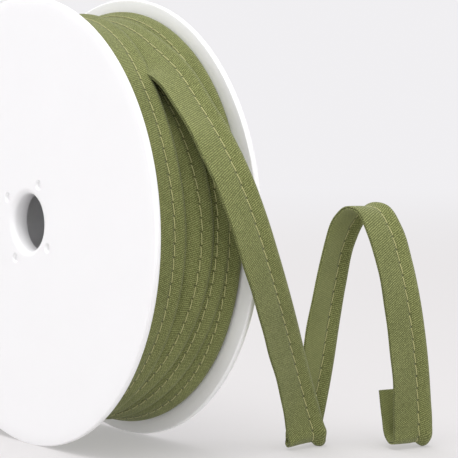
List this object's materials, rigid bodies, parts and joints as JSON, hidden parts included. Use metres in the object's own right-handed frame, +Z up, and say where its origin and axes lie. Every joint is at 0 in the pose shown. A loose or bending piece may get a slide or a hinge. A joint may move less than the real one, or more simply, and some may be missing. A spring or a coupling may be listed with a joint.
{
  "type": "roll of piping on a spool",
  "caption": "Flanged piping, a cord sewn into folded cloth, wound on a flanged plastic spool, its loose end standing in a loop.",
  "frame": {"origin": "on the floor under the middle of the whole thing, loose end included", "axes": "+X along the spool's axis, from the front flange to the rear one and on to the loose end; +Y away from the loose end, level; +Z up"},
  "size_m": [0.07, 0.1122, 0.0998],
  "materials": {
    "spool": "smooth moulded white plastic, a soft sheen",
    "piping": "matte olive green twill with a pale yellow seam"
  },
  "bodies": {
    "root": {"front_flange": "spool", "rear_flange": "spool", "hub": "spool", "wound_piping": "piping", "loose_end": "piping"}
  },
  "joints": []
}
